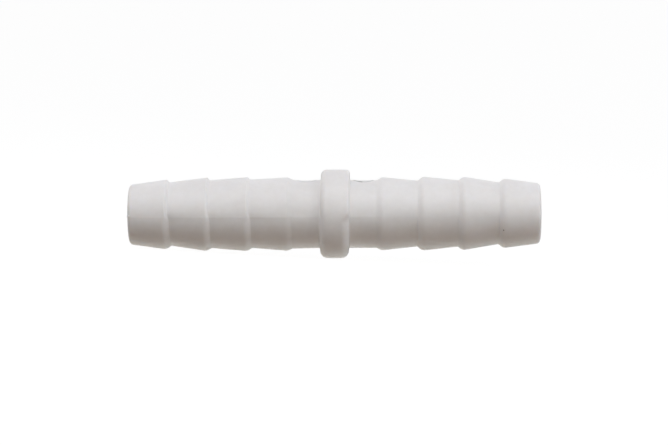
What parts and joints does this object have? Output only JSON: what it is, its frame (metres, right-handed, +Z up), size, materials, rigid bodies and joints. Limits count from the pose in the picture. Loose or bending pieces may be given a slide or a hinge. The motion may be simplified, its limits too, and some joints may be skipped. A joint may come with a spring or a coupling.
{
  "type": "straight barbed hose joiner",
  "caption": "Straight push fit coupling for soft hose: a moulded plastic tube with barbed tails either side of a central stop collar and a bore right through.",
  "frame": {"origin": "centre of the collar, on the bore's axis", "axes": "X along the bore, Z up with the ejector pin marks on top, Y away from the viewer, with the mould's parting line in the XY plane"},
  "size_m": [0.068, 0.0148, 0.0148],
  "materials": {
    "white_plastic": "satin as moulded, slightly translucent warm white"
  },
  "bodies": {
    "root": {"joiner_body": "white_plastic"}
  },
  "joints": []
}
